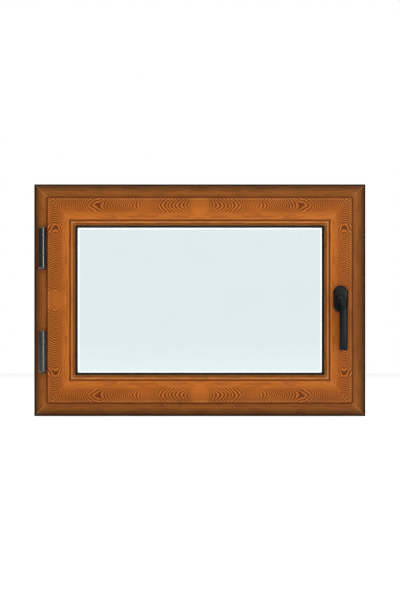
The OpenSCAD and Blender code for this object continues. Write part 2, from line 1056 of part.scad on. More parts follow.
// The case's front half holds the pinion and the posts that the handle screws pull on
module lock_gear_case() {
  color(alloy)
    on_sash_face()
      difference() {
        union() {
          translate([0, 0, -case_split])
            linear_extrude(case_split - case_front)
              case_outline();
          for (end = [-1, 1])
            translate([0, end * handle_pitch / 2, -case_front - eps])
              cylinder(r = 4.5, h = case_front - wall + eps);
        }
        translate([0, 0, -case_split - eps])
          cylinder(r = pitch_r + gear_m + 0.5, h = gear_face + 2 * clear);
        translate([0, 0, -case_split])
          cylinder(r = hub_r + fit, h = case_split);
        for (end = [-1, 1])
          translate([0, end * handle_pitch / 2, -case_split - 1])
            cylinder(r = handle_screw_r + press, h = case_split + 1);
        case_screw_places()
          translate([0, 0, -case_split - 1])
            cylinder(r = 1.5 + press, h = 6);
      }
}

module case_screw_places() {
  for (end = [-1, 1])
    translate([9.5, end * case_screw, 0])
      children();
}

module lock_gear_cover() {
  color(alloy)
    on_sash_face()
      difference() {
        translate([0, 0, -case_back])
          linear_extrude(case_back - case_split)
            case_outline();
        translate([0, 0, -case_back - 1])
          cylinder(r = hub_r + fit, h = case_back);
        for (end = [-1, 1])
          translate([0, end * handle_pitch / 2, -case_back - 1])
            cylinder(r = handle_screw_r + press, h = case_back);
        case_screw_places()
          translate([0, 0, -case_back])
            mirror([0, 0, 1])
              screw_hole(1.5, case_back - case_split + 1);
      }
}

module gear_case_screws() {
  color(steel)
    on_sash_face()
      case_screw_places()
        translate([0, 0, -case_back])
          mirror([0, 0, 1])
            screw(1.5, case_back - case_split + 4);
}

// Sliding blocks between the rod and the groove's floor, above and below each cam
module rod_guides() {
  guide_l = 10;
  color(plastic)
    for (z = [cam_low, cam_high], end = [-1, 1])
      on_lock_jamb(z + end * 16)
        block([rod_back + clear, groove_floor],
              [groove_y - groove_in / 2 + fit, groove_y + groove_in / 2 - fit],
              [-guide_l / 2, guide_l / 2]);
}

// The lever: a round neck, then a cranked grip whose side and front outlines cross
module handle_lever() {
  tip = -lever_l;
  back = lever_out - grip_t;
  under = back - 13;
  color(handle_black)
    on_sash_face()
      difference() {
        union() {
          translate([0, 0, base_h + clear])
            cylinder(r = neck_r, h = under + 4 - base_h - clear);
          cylinder(r = pivot_r, h = under);
          intersection() {
            rotate([90, 0, 90])
              linear_extrude(4 * lever_w, center = true)
                polygon([
                  [lever_head, under], [lever_head, back - 4], [2, back + 3],
                  [-20, lever_out - 1.5], [-70, lever_out], [tip, lever_out - 2.5],
                  [tip, back - 1], [-70, back], [-32, back - 2.5], [-10, under]
                ]);
            linear_extrude(2 * lever_out)
              lever_front(tip);
          }
        }
        translate([0, 0, clip_z])
          ring_groove();
        translate([-spindle / 2 - fit, -spindle / 2 - fit, -1])
          cube([spindle + 2 * fit, spindle + 2 * fit, spindle_out + 1]);
      }
}

// The lever's front outline: a round head and a straight bar with a rounded tip
module lever_front(tip) {
  round_r = 3;
  half = lever_w / 2;
  translate([-crank, 0]) {
    translate([-half, tip + round_r])
      square([lever_w, lever_head - half - tip - round_r]);
    translate([-half + round_r, tip])
      square([lever_w - 2 * round_r, round_r + eps]);
    for (side = [-1, 1])
      translate([side * (half - round_r), tip + round_r])
        circle(round_r);
    translate([0, lever_head - half])
      circle(half);
  }
}

// The groove round the pivot that takes the retaining clip
module ring_groove() {
  difference() {
    translate([0, 0, -clip_t / 2])
      cylinder(r = pivot_r + 1, h = clip_t);
    translate([0, 0, -clip_t])
      cylinder(r = pivot_r - 1, h = 2 * clip_t);
  }
}

module handle_retaining_clip() {
  color(steel)
    on_sash_face()
      translate([0, 0, clip_z - clip_t / 2 + fit])
        difference() {
          cylinder(r = pivot_r + 2, h = clip_t - 2 * fit);
          translate([0, 0, -1])
            cylinder(r = pivot_r - 1 + fit, h = 3);
          translate([0, -2, -1])
            cube([pivot_r + 3, 4, 3]);
        }
}

module handle_spindle() {
  color(steel)
    on_sash_face()
      translate([-spindle / 2, -spindle / 2, -case_back])
        cube([spindle, spindle, case_back + spindle_out - 1]);
}

// An involute's polar angle in degrees, and a tooth's half angle at radius r
function involute(a) = tan(a) * 180 / PI - a;
function half_tooth(r) = (tooth_pitch / 2 - backlash / 2) / 2 / pitch_r * 180 / PI
  + involute(20) - involute(acos(min(1, pitch_r * cos(20) / r)));
function polar(r, a) = [r * cos(a), r * sin(a)];

module lock_pinion() {
  root = pitch_r - 1.25 * gear_m;
  tip = pitch_r + gear_m;
  base = pitch_r * cos(20);
  rise = [for (i = [0:5]) base + (tip - base) * i / 5];
  radii = concat([root], rise);
  last = len(radii) - 1;
  color(steel)
    on_sash_face()
      difference() {
        union() {
          translate([0, 0, -groove_back - gear_face / 2])
            linear_extrude(gear_face)
              polygon([
                for (k = [0:gear_n - 1])
                  each concat(
                    [for (r = radii) polar(r, 180 + k * 360 / gear_n - half_tooth(r))],
                    [for (i = [0:last]) polar(radii[last - i],
                                              180 + k * 360 / gear_n + half_tooth(radii[last - i]))]
                  )
              ]);
          translate([0, 0, -case_back])
            cylinder(r = hub_r, h = case_back - case_front);
        }
        translate([-spindle / 2 - fit, -spindle / 2 - fit, -case_back - 1])
          cube([spindle + 2 * fit, spindle + 2 * fit, case_back]);
      }
}

// Rod, rack and cams ---------------------------------------------------------------------

// Half of a rack tooth's width at place u
function rack_half(u) = (tooth_pitch / 2 - backlash / 2) / 2 + (pitch_u - u) * tan(20);

// A flat rod with a rack on its back, level with the handle
module drive_rod() {
  tip = pitch_u + 0.9 * gear_m;
  width = groove_in - 2 * clear;
  color(steel) {
    on_lock_jamb(0)
      difference() {
        block([rod_u, rod_back], [groove_y - width / 2, groove_y + width / 2],
              [cam_low - rod_end, cam_high + rod_end]);
        for (z = [cam_low, cam_high])
          translate([0, groove_y, z])
            bar_u(cam_r - 2 + press, rod_u - 1, rod_back + 1);
      }
    on_lock_jamb(handle_z)
      slab(groove_y - gear_face / 2 - clear, groove_y + gear_face / 2 + clear)
        polygon(concat(
          [[rod_back - eps, rack_up], [rod_back - eps, -rack_down]],
          [for (k = [rack_first:rack_last], p = rack_tooth(k, tip)) p]
        ));
  }
}

function rack_tooth(k, tip) = let (z = (k + 0.5) * tooth_pitch) [
  [rod_back + eps, z - rack_half(rod_back)], [tip, z - rack_half(tip)],
  [tip, z + rack_half(tip)], [rod_back + eps, z + rack_half(rod_back)]
];

// A cam stem riveted in the rod, with a mushroom head that runs behind the keeper
module cam(z) {
  head_u = groove_u - cam_out;
  color(steel)
    on_lock_jamb(z)
      translate([0, groove_y, 0]) {
        bar_u(cam_r - 2, rod_u - eps, rod_back);
        bar_u(cam_r, head_u, rod_u);
        bar_u(cam_r + 0.8, head_u, head_u + 1.5);
      }
}

module locking_cam_upper() {
  cam(cam_high);
}

module locking_cam_lower() {
  cam(cam_low);
}

frame_head();
frame_sill();
frame_jamb_hinge();
frame_jamb_lock();
frame_corner_cleats();
frame_rebate_gasket();
frame_anchor_caps();
frame_drain_caps();
keeper_upper();
keeper_lower();
keeper_screws();
upper_hinge_frame_leaf();
lower_hinge_frame_leaf();
upper_hinge_pin();
lower_hinge_pin();
hinge_top_caps();
hinge_frame_screws();
hinge_frame_clamps();
sash_top_rail();
sash_bottom_rail();
sash_hinge_stile();
sash_lock_stile();
sash_corner_cleats();
bead_top();
bead_bottom();
bead_hinge_side();
bead_lock_side();
glazing_gasket_inner();
glazing_gasket_outer();
glass_inner_pane();
glass_outer_pane();
glass_spacer();
glass_edge_sealant();
setting_blocks();
sash_overlap_gasket();
upper_hinge_sash_leaf();
lower_hinge_sash_leaf();
hinge_sash_screws();
hinge_sash_clamps();
hinge_bushes();
handle_base();
handle_cover();
handle_screws();
handle_detent_ring();
lock_gear_case();
lock_gear_cover();
gear_case_screws();
rod_guides();
handle_lever();
handle_spindle();
lock_pinion();
handle_retaining_clip();
drive_rod();
locking_cam_upper();
locking_cam_lower();
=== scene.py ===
import math

import bpy
import numpy as np
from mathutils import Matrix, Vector


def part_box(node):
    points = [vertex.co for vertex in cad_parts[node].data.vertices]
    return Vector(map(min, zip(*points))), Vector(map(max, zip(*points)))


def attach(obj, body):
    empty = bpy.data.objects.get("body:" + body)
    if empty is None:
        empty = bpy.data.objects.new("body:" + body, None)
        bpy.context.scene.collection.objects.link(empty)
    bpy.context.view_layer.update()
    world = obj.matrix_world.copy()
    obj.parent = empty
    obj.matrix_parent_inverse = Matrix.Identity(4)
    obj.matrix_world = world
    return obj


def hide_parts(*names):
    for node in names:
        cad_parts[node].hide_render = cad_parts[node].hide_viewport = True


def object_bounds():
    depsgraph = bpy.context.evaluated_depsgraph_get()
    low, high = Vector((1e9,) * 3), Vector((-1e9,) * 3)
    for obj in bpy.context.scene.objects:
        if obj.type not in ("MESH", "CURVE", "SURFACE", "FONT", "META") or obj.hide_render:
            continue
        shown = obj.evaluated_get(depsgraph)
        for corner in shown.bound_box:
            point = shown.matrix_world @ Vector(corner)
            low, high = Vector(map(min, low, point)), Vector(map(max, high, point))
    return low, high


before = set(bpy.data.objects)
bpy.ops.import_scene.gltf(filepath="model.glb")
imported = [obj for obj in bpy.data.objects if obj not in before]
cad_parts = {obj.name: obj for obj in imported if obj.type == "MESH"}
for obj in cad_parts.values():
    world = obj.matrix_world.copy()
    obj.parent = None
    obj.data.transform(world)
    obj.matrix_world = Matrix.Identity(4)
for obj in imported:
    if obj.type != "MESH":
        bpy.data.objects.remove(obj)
cad_low, cad_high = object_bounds()

# Fixed frame -----------------------------------------------------------------------------
# Four lengths of extruded aluminium, wrapped in a wood-grain coating, cut at 45 degrees and
# crimped over corner cleats. The room face curves back to the outer edge, and a fin stands
# in from the outdoor edge to stop the sash.

MM = 0.001
MERGE_DIGITS = 7  # decimals of a metre to which two points are one vertex
ARC_POINTS = 6  # points on each rounded corner of a section
width = cad_high.x - cad_low.x
height = cad_high.z - cad_low.z
X = np.array([1.0, 0.0, 0.0])
Y = np.array([0.0, 1.0, 0.0])
Z = np.array([0.0, 0.0, 1.0])
# Each side of the window: origin, direction along it, direction towards the glass, half length
SIDES = {
    "sill": (0 * Z, X, Z, width / 2),
    "hinge": (Z * height / 2 - X * width / 2, Z, X, height / 2),
    "head": (Z * height, X, -Z, width / 2),
    "lock": (Z * height / 2 + X * width / 2, Z, -X, height / 2),
}


def section_outline(corners):
    """Closed outline of a section in millimetres. Each corner (u, y, radius) becomes the arc
    of that radius that touches both of its sides: the arc's centre is radius / sin(half angle)
    along the bisector, and its points run between the two touching points. Returns metres."""
    corners = np.array(corners, float)
    tip, radius = corners[:, :2], corners[:, 2:]
    back = np.roll(tip, 1, axis=0) - tip
    ahead = np.roll(tip, -1, axis=0) - tip
    back /= np.linalg.norm(back, axis=1, keepdims=True)
    ahead /= np.linalg.norm(ahead, axis=1, keepdims=True)
    half = np.arccos(np.clip((back * ahead).sum(1, keepdims=True), -1, 1)) / 2
    middle = back + ahead
    middle /= np.linalg.norm(middle, axis=1, keepdims=True)
    centre = tip + middle * radius / np.sin(half)
    first = tip + back * radius / np.tan(half) - centre
    last = tip + ahead * radius / np.tan(half) - centre
    start = np.arctan2(first[:, 1], first[:, 0])
    turn = np.arctan2(last[:, 1], last[:, 0]) - start
    turn = (turn + np.pi) % (2 * np.pi) - np.pi
    angle = start[:, None] + turn[:, None] * np.linspace(0, 1, ARC_POINTS)
    spoke = np.stack([np.cos(angle), np.sin(angle)], axis=-1)
    points = centre[:, None] + radius[:, None] * spoke
    outward = spoke * np.sign(turn)[:, None, None]
    return points.reshape(-1, 2) * MM, outward.reshape(-1, 2)


def merge_points(flat):
    """Which points to keep as vertices, and the vertex that each point becomes."""
    _, index, which = np.unique(np.round(flat, MERGE_DIGITS), axis=0, return_index=True,
                                return_inverse=True)
    return index, which.reshape(-1)


def grid_shell(points, normals, close_rows=False, flip=False, grain=None):
    """Faces between neighbouring rows and columns of a grid of points, closed along the columns:
    face (i, j) has the corners (i, j), (i, j + 1), (i + 1, j + 1) and (i + 1, j). Corners that
    fall on one another, as at a pole, are one vertex, and a face keeps its different corners."""
    rows, cols = points.shape[:2]
    row = np.arange(rows if close_rows else rows - 1)[:, None]
    col = np.arange(cols)[None, :]
    at = np.stack([row * cols + col, row * cols + (col + 1) % cols,
                   (row + 1) % rows * cols + (col + 1) % cols,
                   (row + 1) % rows * cols + col], axis=-1).reshape(-1, 4)
    flat = points.reshape(-1, 3)
    index, which = merge_points(flat)
    corner = which[at]
    keep = corner != np.roll(corner, 1, axis=1)
    if grain is None:
        wrap = np.zeros((len(at), 4, 2))
    else:
        wide = grain.shape[1]
        wrap = np.stack([row * wide + col, row * wide + col + 1,
                         (row + 1) * wide + col + 1, (row + 1) * wide + col], axis=-1)
        wrap = grain.reshape(-1, 2)[wrap.reshape(-1, 4)]
    aim = normals.reshape(-1, 3)[at]
    if flip:
        corner, keep, wrap, aim = corner[:, ::-1], keep[:, ::-1], wrap[:, ::-1], aim[:, ::-1]
    solid = keep.sum(1) > 2
    keep &= solid[:, None]
    return {"points": flat[index], "loops": corner[keep], "sizes": keep.sum(1)[solid],
            "normals": aim[keep], "grain": wrap[keep]}


def face_shell(points, normal, flip=False, grain=None):
    """One flat face through a closed row of points."""
    order = np.arange(len(points))[::-1] if flip else np.arange(len(points))
    wrap = np.zeros((len(points), 2)) if grain is None else grain[order]
    return {"points": points, "loops": order, "sizes": np.array([len(points)]),
            "normals": np.tile(normal, (len(points), 1)), "grain": wrap}


def join_shells(shells):
    """Shells put in one, with vertices that fall on one another merged."""
    starts = np.cumsum([0] + [len(s["points"]) for s in shells])
    flat = np.concatenate([s["points"] for s in shells])
    loops = np.concatenate([s["loops"] + k for s, k in zip(shells, starts)])
    index, which = merge_points(flat)
    rest = {key: np.concatenate([s[key] for s in shells]) for key in ("sizes", "normals", "grain")}
    return {"points": flat[index], "loops": which[loops], **rest}


def sweep_shell(outline, origin, along, inward, half, mitre=1, ease=0.25 * MM, ref=0):
    """A closed section carried along a straight line. A point (u, y) of the section at end -1
    or 1 lies at end * (half - mitre * u) along it, so that mitre 1 cuts the ends at 45 degrees.
    The last ease of each end is drawn in by ease, which leaves a fine groove at the joint. The
    grain of a point is its place along and its way round the outline, which is counted so that
    it equals u where the outline's corner number ref starts."""
    gap, slope = 0.16 * ease, 0.8
    section, outward = outline
    end = np.array([-1, -1, 0, 1, 1])[:, None]
    draw = np.array([ease, 0, 0, 0, ease])[:, None]
    pull = np.array([gap, ease, 0, ease, gap])[:, None]
    u = section[:, 0] - draw * outward[:, 0]
    y = section[:, 1] - draw * outward[:, 1]
    a = end * (half - mitre * u - pull)
    points = origin + a[..., None] * along + u[..., None] * inward + y[..., None] * Y
    side = outward[:, :1] * inward + outward[:, 1:] * Y
    tilt = (draw > 0) * end
    normals = side[None] + tilt[..., None] * along * slope
    normals /= np.linalg.norm(normals, axis=-1, keepdims=True)
    step = np.linalg.norm(np.diff(section, axis=0, append=section[:1]), axis=1)
    across = np.concatenate([[0], np.cumsum(step)])
    zero = ref * ARC_POINTS
    across += section[zero, 0] - across[zero]
    a_wrapped = np.concatenate([a, a[:, :1]], axis=1)
    grain = np.stack([a_wrapped, np.broadcast_to(across, a_wrapped.shape)], axis=-1)
    flip = np.linalg.det([along, inward, Y]) < 0
    cut = np.array([(mitre * inward + e * along) / math.sqrt(1 + mitre) for e in (-1, 1)])
    return join_shells([
        grid_shell(points, normals, flip=flip, grain=grain),
        face_shell(points[0], cut[0], flip=not flip, grain=grain[0, :-1]),
        face_shell(points[-1], cut[1], flip=flip, grain=grain[-1, :-1]),
    ])


def make_piece(name, shell, finish):
    """A mesh object at the origin, with the shell's own normals, its grain as a UV map and its
    finish."""
    mesh = bpy.data.meshes.new(name)
    mesh.vertices.add(len(shell["points"]))
    mesh.vertices.foreach_set("co", shell["points"].astype(np.float32).ravel())
    mesh.loops.add(len(shell["loops"]))
    mesh.loops.foreach_set("vertex_index", shell["loops"].astype(np.int32))
    mesh.polygons.add(len(shell["sizes"]))
    starts = np.concatenate([[0], np.cumsum(shell["sizes"])[:-1]])
    mesh.polygons.foreach_set("loop_start", starts.astype(np.int32))
    mesh.polygons.foreach_set("use_smooth", np.ones(len(starts), bool))
    mesh.uv_layers.new(name="grain")
    mesh.uv_layers["grain"].data.foreach_set("uv", shell["grain"].astype(np.float32).ravel())
    mesh.update(calc_edges=True)
    mesh.validate()
    mesh.normals_split_custom_set(shell["normals"].tolist())
    mesh.materials.append(finish.material)
    piece = bpy.data.objects.new(name, mesh)
    bpy.context.scene.collection.objects.link(piece)
    return piece


class Wire:
    """An output of a node in a finish. Arithmetic on it adds Math nodes."""

    def __init__(self, finish, socket):
        self.finish = finish
        self.socket = socket

    def math(self, operation, *inputs):
        """One Math node with these inputs."""
        return self.finish.node("ShaderNodeMath", {"operation": operation}, dict(enumerate(inputs)))

    def __add__(self, other):
        return self.math("ADD", self, other)

    def __sub__(self, other):
        return self.math("SUBTRACT", self, other)

    def __rsub__(self, other):
        return self.math("SUBTRACT", other, self)

    def __mul__(self, other):
        return self.math("MULTIPLY", self, other)

    def __truediv__(self, other):
        return self.math("DIVIDE", self, other)

    def __abs__(self):
        return self.math("ABSOLUTE", self)

    __radd__ = __add__
    __rmul__ = __mul__


class Finish:
    """A material built from nodes, one call for each."""

    def __init__(self, name):
        self.material = bpy.data.materials.new(name)
        self.material.use_nodes = True
        self.material.node_tree.nodes.clear()

    def node(self, kind, settings=None, inputs=None, out=0):
        """Adds a node, sets its settings, a ramp's stops among them, then fills or links its
        sockets, and returns one of its outputs."""
        tree = self.material.node_tree
        made = tree.nodes.new(kind)
        for key, value in (settings or {}).items():
            if key == "stops":
                for _ in value[2:]:
                    made.color_ramp.elements.new(0.5)
                for element, stop in zip(made.color_ramp.elements, value):
                    element.position = stop[0]
                for element, stop in zip(made.color_ramp.elements, value):
                    element.color = stop[1]
            else:
                setattr(made, key, value)
        for key, value in (inputs or {}).items():
            if isinstance(value, Wire):
                tree.links.new(value.socket, made.inputs[key])
            else:
                made.inputs[key].default_value = value
        return Wire(self, made.outputs[out])

    def step(self, value, low, high):
        """0 below low, 1 above high, and a smooth rise between."""
        return self.node("ShaderNodeMapRange", {"interpolation_type": "SMOOTHSTEP"},
                         {0: value, 1: low, 2: high, 3: 0.0, 4: 1.0})

    def vector(self, x=0.0, y=0.0, z=0.0):
        """Three values as one vector."""
        return self.node("ShaderNodeCombineXYZ", None, {0: x, 1: y, 2: z})

    def noise(self, vector, scale=1.0, detail=2.0, rough=0.5):
        """Fractal noise from 0 to 1, one swell for each 1 / scale of the vector."""
        return self.node("ShaderNodeTexNoise", None,
                         {"Vector": vector, "Scale": scale, "Detail": detail, "Roughness": rough})

    def blend(self, amount, first, second, kind="MIX"):
        """The first colour, and by amount the second, mixed in or multiplied."""
        return self.node("ShaderNodeMix", {"data_type": "RGBA", "blend_type": kind},
                         {0: amount, 6: first, 7: second}, out=2)

    def surface(self, shader):
        """Puts a shader on the surface."""
        tree = self.material.node_tree
        end = tree.nodes.new("ShaderNodeOutputMaterial")
        tree.links.new(shader.socket, end.inputs[0])


def paint(red, green, blue):
    """A colour in display values from 0 to 255, made linear: c / 12.92 for the darkest, and
    ((c + 0.055) / 1.055)^2.4 for the rest."""
    part = np.array([red, green, blue]) / 255
    linear = np.where(part <= 0.04045, part / 12.92, ((part + 0.055) / 1.055) ** 2.4)
    return (*linear.tolist(), 1.0)


def wood_coating(name, half, tone_and_shade, centre, seed, figure, gloss, seam, face_end, patch=0.0):
    """Wood grain for one length, mirrored about its middle. a is the distance along from the
    middle and v the distance across from the line u = centre. The rings are the lines of equal
    a + 0.072 slow(a) + 1.1 sqrt(v^2 + crown^2) + 0.007 wander(a, u), one for each pitch, so
    that they nest as arches, and flames and pores run along. The ramp of colours by u, the
    third argument, colours the face: it holds the coating's colour together with painted
    shade, painted shadows and painted highlight lines. seam is where the pale line along the
    mitre starts, is full, and how strong it is, and it ends at face_end. patch lights the
    middle of the length and clears it of arches."""
    crown, pitch = 11 * MM, 6 * MM
    lighter = (1.38, 1.42, 1.5, 1)
    darker = (0.42, 0.33, 0.2, 1)
    patch_light = (1.28, 1.27, 1.25, 1)
    warmth = (1.0, 0.94, 0.62, 1)
    f = Finish(name)
    place = f.node("ShaderNodeUVMap", {"uv_map": "grain"})
    along = f.node("ShaderNodeSeparateXYZ", None, {0: place}, out=0)
    across = f.node("ShaderNodeSeparateXYZ", None, {0: place}, out=1)
    a = abs(along)
    v = abs(across - centre * MM)

    slow = f.noise(f.vector(a, seed, 0.3), scale=13.0, detail=1.0)
    wander = f.noise(f.vector(a * 55, across * 95, seed), detail=2.0)
    bow = v * v + crown ** 2
    arch = bow.math("SQRT", bow)
    rings = a + slow * 0.072 + arch * 1.1 + wander * 0.007
    wave = rings.math("SINE", rings * (2 * math.pi / pitch))
    near = 1 - f.step(v, 14 * MM, 23 * MM)
    plain = f.step(a, 13 * MM, 27 * MM) if patch else 1.0
    depth = f.noise(f.vector(a * 22, across * 40, seed + 3), detail=1.0)
    arches = f.step(wave, -0.6, 0.7) * near * plain * (0.6 + 0.9 * depth) * figure
    flame = f.noise(f.vector(a * 26 + 0.8 * wander, across * 190, seed + 7), detail=3.0, rough=0.6)
    flames = f.step(flame, 0.47, 0.62) * (1 - 0.75 * near * figure)
    pore = f.noise(f.vector(along * 260, across * 3600, seed), detail=2.0)
    pores = f.step(pore, 0.56, 0.72)
    tone = f.noise(f.vector(a * 9, across * 30, seed + 11), detail=2.0)

    low, high = tone_and_shade[0][0], tone_and_shade[-1][0]
    stops = [((u - low) / (high - low), paint(*colour)) for u, colour in tone_and_shade]
    base = f.node("ShaderNodeValToRGB", {"stops": stops},
                  {0: (across - low * MM) / ((high - low) * MM)})
    if patch:
        glow = (1 - f.step(a, 10 * MM, 30 * MM)) * patch * (1 - f.step(v, 18 * MM, 34 * MM))
        base = f.blend(glow, base, patch_light, "MULTIPLY")
    lit = f.blend(1.0, base, lighter, "MULTIPLY")
    dark = f.blend(1.0, base, darker, "MULTIPLY")
    colour = f.blend(arches, f.blend(near * plain * (0.9 * figure), base, lit), dark)
    colour = f.blend(flames * 0.42, f.blend(0.22 * (1 - near), colour, lit), dark)
    colour = f.blend(pores * 0.22, colour, dark)
    colour = f.blend(f.step(tone, 0.35, 0.7) * 0.22, colour, dark)

    from_mitre = abs(half - a - across)
    seam_start, seam_full, strength = seam
    past_start = f.step(across, (seam_start - 1) * MM, seam_full * MM)
    on_face = past_start * (1 - f.step(across, face_end * MM, (face_end + 1) * MM))
    hair = (1 - f.step(from_mitre, 0.5 * MM, 1.3 * MM)) * on_face
    colour = f.blend(hair * strength, colour, paint(172, 140, 108))
    colour = f.blend(1.0, colour, warmth, "MULTIPLY")

    rough = gloss + 0.14 * pores + 0.06 * tone
    grooves = 1 - pores * 0.8 - arches * 0.35 - flames * 0.2
    f.surface(f.node("ShaderNodeBsdfPrincipled", None, {
        "Base Color": colour,
        "Roughness": rough,
        "Specular IOR Level": 0.09,
        "Normal": f.node("ShaderNodeBump", None,
                         {"Strength": 0.35, "Distance": 0.12 * MM, "Height": grooves}),
    }))
    return f


# The section (u, y, corner radius) in millimetres: u from the outer edge towards the glass, y
# from the room to the outdoors
frame_face, fin_reach = 37, 57
frame_front, frame_back, fin_front = -22.5, 22.5, 20.5
frame_outline = section_outline([
    (0, frame_back, 0.8), (0, -17, 0.7), (7.05, frame_front, 23), (frame_face, frame_front, 1),
    (frame_face, fin_front, 0.4), (fin_reach, fin_front, 0.5), (fin_reach, frame_back, 0.5),
])
# Colour of the coating by u, with painted light in it: painted shade, darkest where the outer
# edge turns away from the light and lighter up across the face, a painted highlight line at
# 28.9, and a painted shadow from 30.6 to 33 where the sash's lap stands over the frame
frame_tone_and_shade = [
    (-6, (98, 60, 27)), (-1.6, (34, 15, 2)), (1.8, (20, 8, 1)), (3.4, (74, 43, 17)),
    (8, (96, 56, 23)), (13, (114, 68, 29)), (21, (143, 84, 38)), (26, (145, 84, 38)),
    (28.9, (156, 95, 48)), (30.0, (140, 80, 32)), (30.6, (100, 45, 7)), (33, (100, 45, 7)),
    (38, (139, 80, 35)), (60, (124, 72, 32)),
]
frame_woods = {
    size: wood_coating("frame_coating_" + size, SIDES[side][3], frame_tone_and_shade, 22.0, seed,
                       figure=0.18, gloss=0.4, seam=(1.0, 3.0, 0.5), face_end=30)
    for size, side, seed in (("rail", "head", 2.3), ("stile", "lock", 5.9))
}


def bore_shell(near, far, radius, steps=40):
    """A round bar with flat ends: the ring radius * (cos t, sin t) carried from near to far."""
    axis = (far - near) / np.linalg.norm(far - near)
    side = np.cross(axis, Z)
    turn = np.linspace(0, 2 * np.pi, steps, endpoint=False)[:, None]
    ring = radius * (np.cos(turn) * side + np.sin(turn) * np.cross(axis, side))
    rows = np.stack([near + ring, far + ring])
    return join_shells([grid_shell(rows, np.stack([ring, ring]) / radius),
                        face_shell(rows[0], -axis, flip=True), face_shell(rows[1], axis)])


def cut_away(piece, shell, finish):
    """Takes the space inside a shell out of a piece, and gives the new walls the finish."""
    tool = make_piece("cutting_tool", shell, finish)
    cut = piece.modifiers.new("cut", "BOOLEAN")
    cut.object = tool
    cut.operation = "DIFFERENCE"
    cut.solver = "EXACT"
    cut.material_mode = "INDEX"
    done = piece.evaluated_get(bpy.context.evaluated_depsgraph_get())
    mesh = bpy.data.meshes.new_from_object(done)
    piece.modifiers.clear()
    piece.data = mesh
    bpy.data.objects.remove(tool)


# Holes for the wall fixings, two in each stile and 70 mm from its ends, and drain slots in the
# floor of the sill's rebate
fixing_radius, fixing_depth, fixing_y = 4.25 * MM, 36 * MM, 4 * MM
fixing_off = height / 2 - 70 * MM
slot_outline = section_outline([(25, 5, 1), (38, 5, 1), (38, 10, 1), (25, 10, 1)])
slot_half = 15 * MM
slot_places = (-170 * MM, 230 * MM)
for node, side, size in (("frame_head", "head", "rail"), ("frame_sill", "sill", "rail"),
                         ("frame_jamb_hinge", "hinge", "stile"),
                         ("frame_jamb_lock", "lock", "stile")):
    origin, along, inward, half = SIDES[side]
    wood = frame_woods[size]
    shell = sweep_shell(frame_outline, origin, along, inward, half, ref=3)
    member = make_piece(node + "_wrapped", shell, wood)
    if size == "stile":
        starts = [origin + end * fixing_off * along + fixing_y * Y for end in (-1, 1)]
        holes = [bore_shell(start - MM * inward, start + fixing_depth * inward, fixing_radius)
                 for start in starts]
        cut_away(member, join_shells(holes), wood)
    if side == "sill":
        slots = [sweep_shell(slot_outline, origin + place * X, along, inward, slot_half, mitre=0)
                 for place in slot_places]
        cut_away(member, join_shells(slots), wood)
    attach(member, "frame")
    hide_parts(node)

# Sash ------------------------------------------------------------------------------------
# Four lengths of the same extrusion, mitred. A thin lap covers the frame's edge, the outer
# wall holds the hardware groove, and a lip at the outdoor side carries the glass.

lap_edge, groove_face, bead_seat, lip_edge = 31.5, 47.5, 87, 104
sash_front, lap_back, lip_front, sash_back = -32, -27.5, 13.5, 15.5
groove_lips, groove_floor, lap_hem = 48.7, 53, 34
sash_outline = section_outline([
    (lap_edge, lap_back, 0.4), (lap_edge, sash_front, 1.4), (bead_seat, sash_front, 1.0),
    (bead_seat, lip_front, 0.4), (lip_edge, lip_front, 0.5), (lip_edge, sash_back, 0.5),
    (groove_face, sash_back, 0.8), (groove_face, -6, 0.3), (groove_lips, -6, 0.2),
    (groove_lips, -4, 0.2), (groove_floor, -4, 0.3), (groove_floor, -20, 0.3),
    (groove_lips, -20, 0.2), (groove_lips, -18, 0.2), (groove_face, -18, 0.3),
    (groove_face, -30, 0.4), (lap_hem, -30, 0.4), (lap_hem, lap_back, 0.4),
])
# Colour of the coating by u, with painted light in it: a painted shadow at the lap's arris,
# a painted highlight line beside it, a slow rise to the bead, then a painted highlight on the
# edge by the bead and painted shade in the groove beside it
sash_tone_and_shade = [
    (28, (96, 52, 16)), (32.6, (100, 44, 6)), (33.6, (132, 72, 26)), (34.8, (150, 88, 42)),
    (36.4, (170, 106, 58)), (38.6, (148, 83, 35)), (41, (152, 87, 38)), (50, (157, 88, 36)),
    (62, (162, 91, 37)), (72, (169, 95, 38)), (80, (172, 98, 42)), (83.3, (172, 101, 48)),
    (85.2, (160, 92, 40)), (86.2, (108, 46, 3)), (88, (104, 44, 3)), (100, (120, 70, 30)),
]
sash_woods = {
    size: wood_coating("sash_coating_" + size, SIDES[side][3], sash_tone_and_shade, 51.0, seed,
                       figure=figure, gloss=0.4, seam=(58.0, 80.0, 0.35), face_end=86,
                       patch=patch)
    for size, side, seed, figure, patch in (("rail", "head", 1.7, 0.95, 0.9),
                                            ("stile", "lock", 4.2, 1.2, 0.45))
}
for node, side, size in (("sash_top_rail", "head", "rail"), ("sash_bottom_rail", "sill", "rail"),
                         ("sash_hinge_stile", "hinge", "stile"),
                         ("sash_lock_stile", "lock", "stile")):
    shell = sweep_shell(sash_outline, *SIDES[side], ref=2)
    member = make_piece(node + "_wrapped", shell, sash_woods[size])
    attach(member, "sash")
    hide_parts(node)

# Glazing beads ---------------------------------------------------------------------------
# Slim coated strips that snap into the sash and press the inner gasket on the glass. Their
# room face is flat beside the sash and slopes down to the glass.

